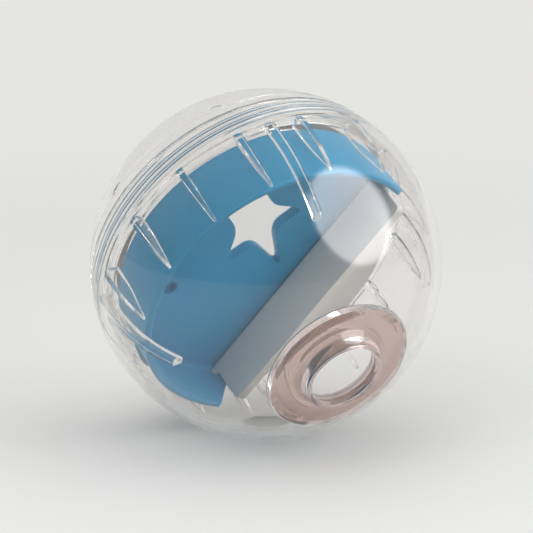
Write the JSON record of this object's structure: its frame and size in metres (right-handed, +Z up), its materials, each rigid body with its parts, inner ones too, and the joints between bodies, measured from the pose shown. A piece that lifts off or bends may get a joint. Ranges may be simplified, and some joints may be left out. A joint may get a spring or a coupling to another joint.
{
  "type": "treat ball",
  "caption": "Clear screw-apart pet treat ball with a blue tray, a star hole, a white tilting divider and a necked outlet that lets treats out as it rolls.",
  "frame": {"origin": "centre of the small flat that the ball rests on, straight below the ball's centre", "axes": "+Z up; the outlet faces -Y and points 28 degrees below level, as in the picture; +X to the right seen from the outlet side"},
  "size_m": [0.102, 0.102, 0.1015],
  "materials": {
    "clear_shell": "clear, glossy",
    "outlet_clear": "clear with a faint pink tint, glossy",
    "tray_blue": "gloss",
    "divider_white": "gloss"
  },
  "bodies": {
    "front": {"front_shell": "clear_shell", "outlet_cup": "outlet_clear"},
    "tray": {"tray": "tray_blue"},
    "divider": {"divider": "divider_white"},
    "back": {"back_shell": "clear_shell"}
  },
  "joints": [
    {"name": "unscrew_lift", "type": "slide", "parent": "front", "child": "tray", "axis": [0, 0.8829, 0.4695], "range_m": [0, 0.0365]},
    {"name": "unscrew_turn", "type": "hinge", "parent": "tray", "child": "back", "pos_m": [0, 0, 0.0505], "axis": [0, 0.8829, 0.4695], "range_deg": [0, 1260]},
    {"name": "divider_tilt", "type": "hinge", "parent": "tray", "child": "divider", "pos_m": [0.01224, 0.00343, 0.04511], "axis": [0.4617, -0.4164, 0.7832], "range_deg": [-80, 10]}
  ],
  "couplings": [
    {"joint": "unscrew_lift", "follows": "unscrew_turn", "m_per_rad": 0.0016552}
  ]
}
